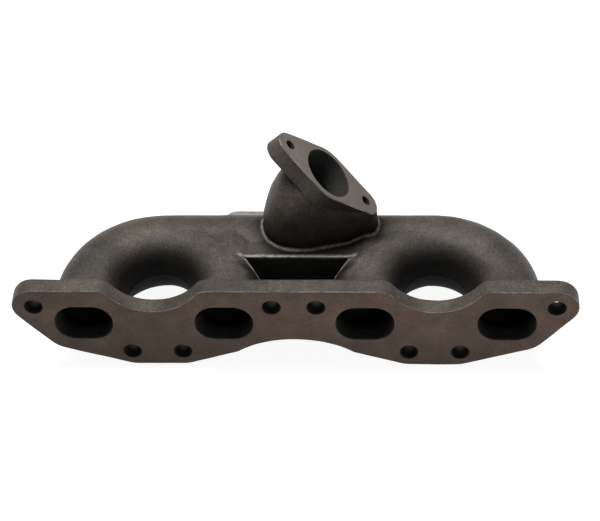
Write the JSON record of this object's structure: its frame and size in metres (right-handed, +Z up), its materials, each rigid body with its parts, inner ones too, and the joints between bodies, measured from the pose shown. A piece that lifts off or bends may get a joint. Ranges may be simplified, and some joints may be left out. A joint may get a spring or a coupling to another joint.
{
  "type": "exhaust manifold",
  "caption": "Cast-iron log exhaust manifold for an inline four with a turbocharger flange below and an angled two-bolt wastegate flange on top.",
  "frame": {"origin": "on the machined face of the head flange, midway between the two middle ports, at port height", "axes": "+X along the engine, +Y away from the cylinder head, +Z up"},
  "size_m": [0.3874, 0.153, 0.1393],
  "materials": {
    "iron_cast": "rough sand-cast iron, blackened",
    "iron_machined": "machined iron with a brown bloom"
  },
  "bodies": {
    "root": {"head_flange": "iron_machined", "port_neck_1": "iron_cast", "port_neck_2": "iron_cast", "port_neck_3": "iron_cast", "port_neck_4": "iron_cast", "runner_1": "iron_cast", "runner_2": "iron_cast", "runner_3": "iron_cast", "runner_4": "iron_cast", "log_left": "iron_cast", "log_right": "iron_cast", "log_centre": "iron_cast", "nut_pocket": "iron_cast", "turbo_collector": "iron_cast", "turbo_flange": "iron_machined", "wastegate_neck": "iron_cast", "wastegate_flange": "iron_machined"}
  },
  "joints": []
}
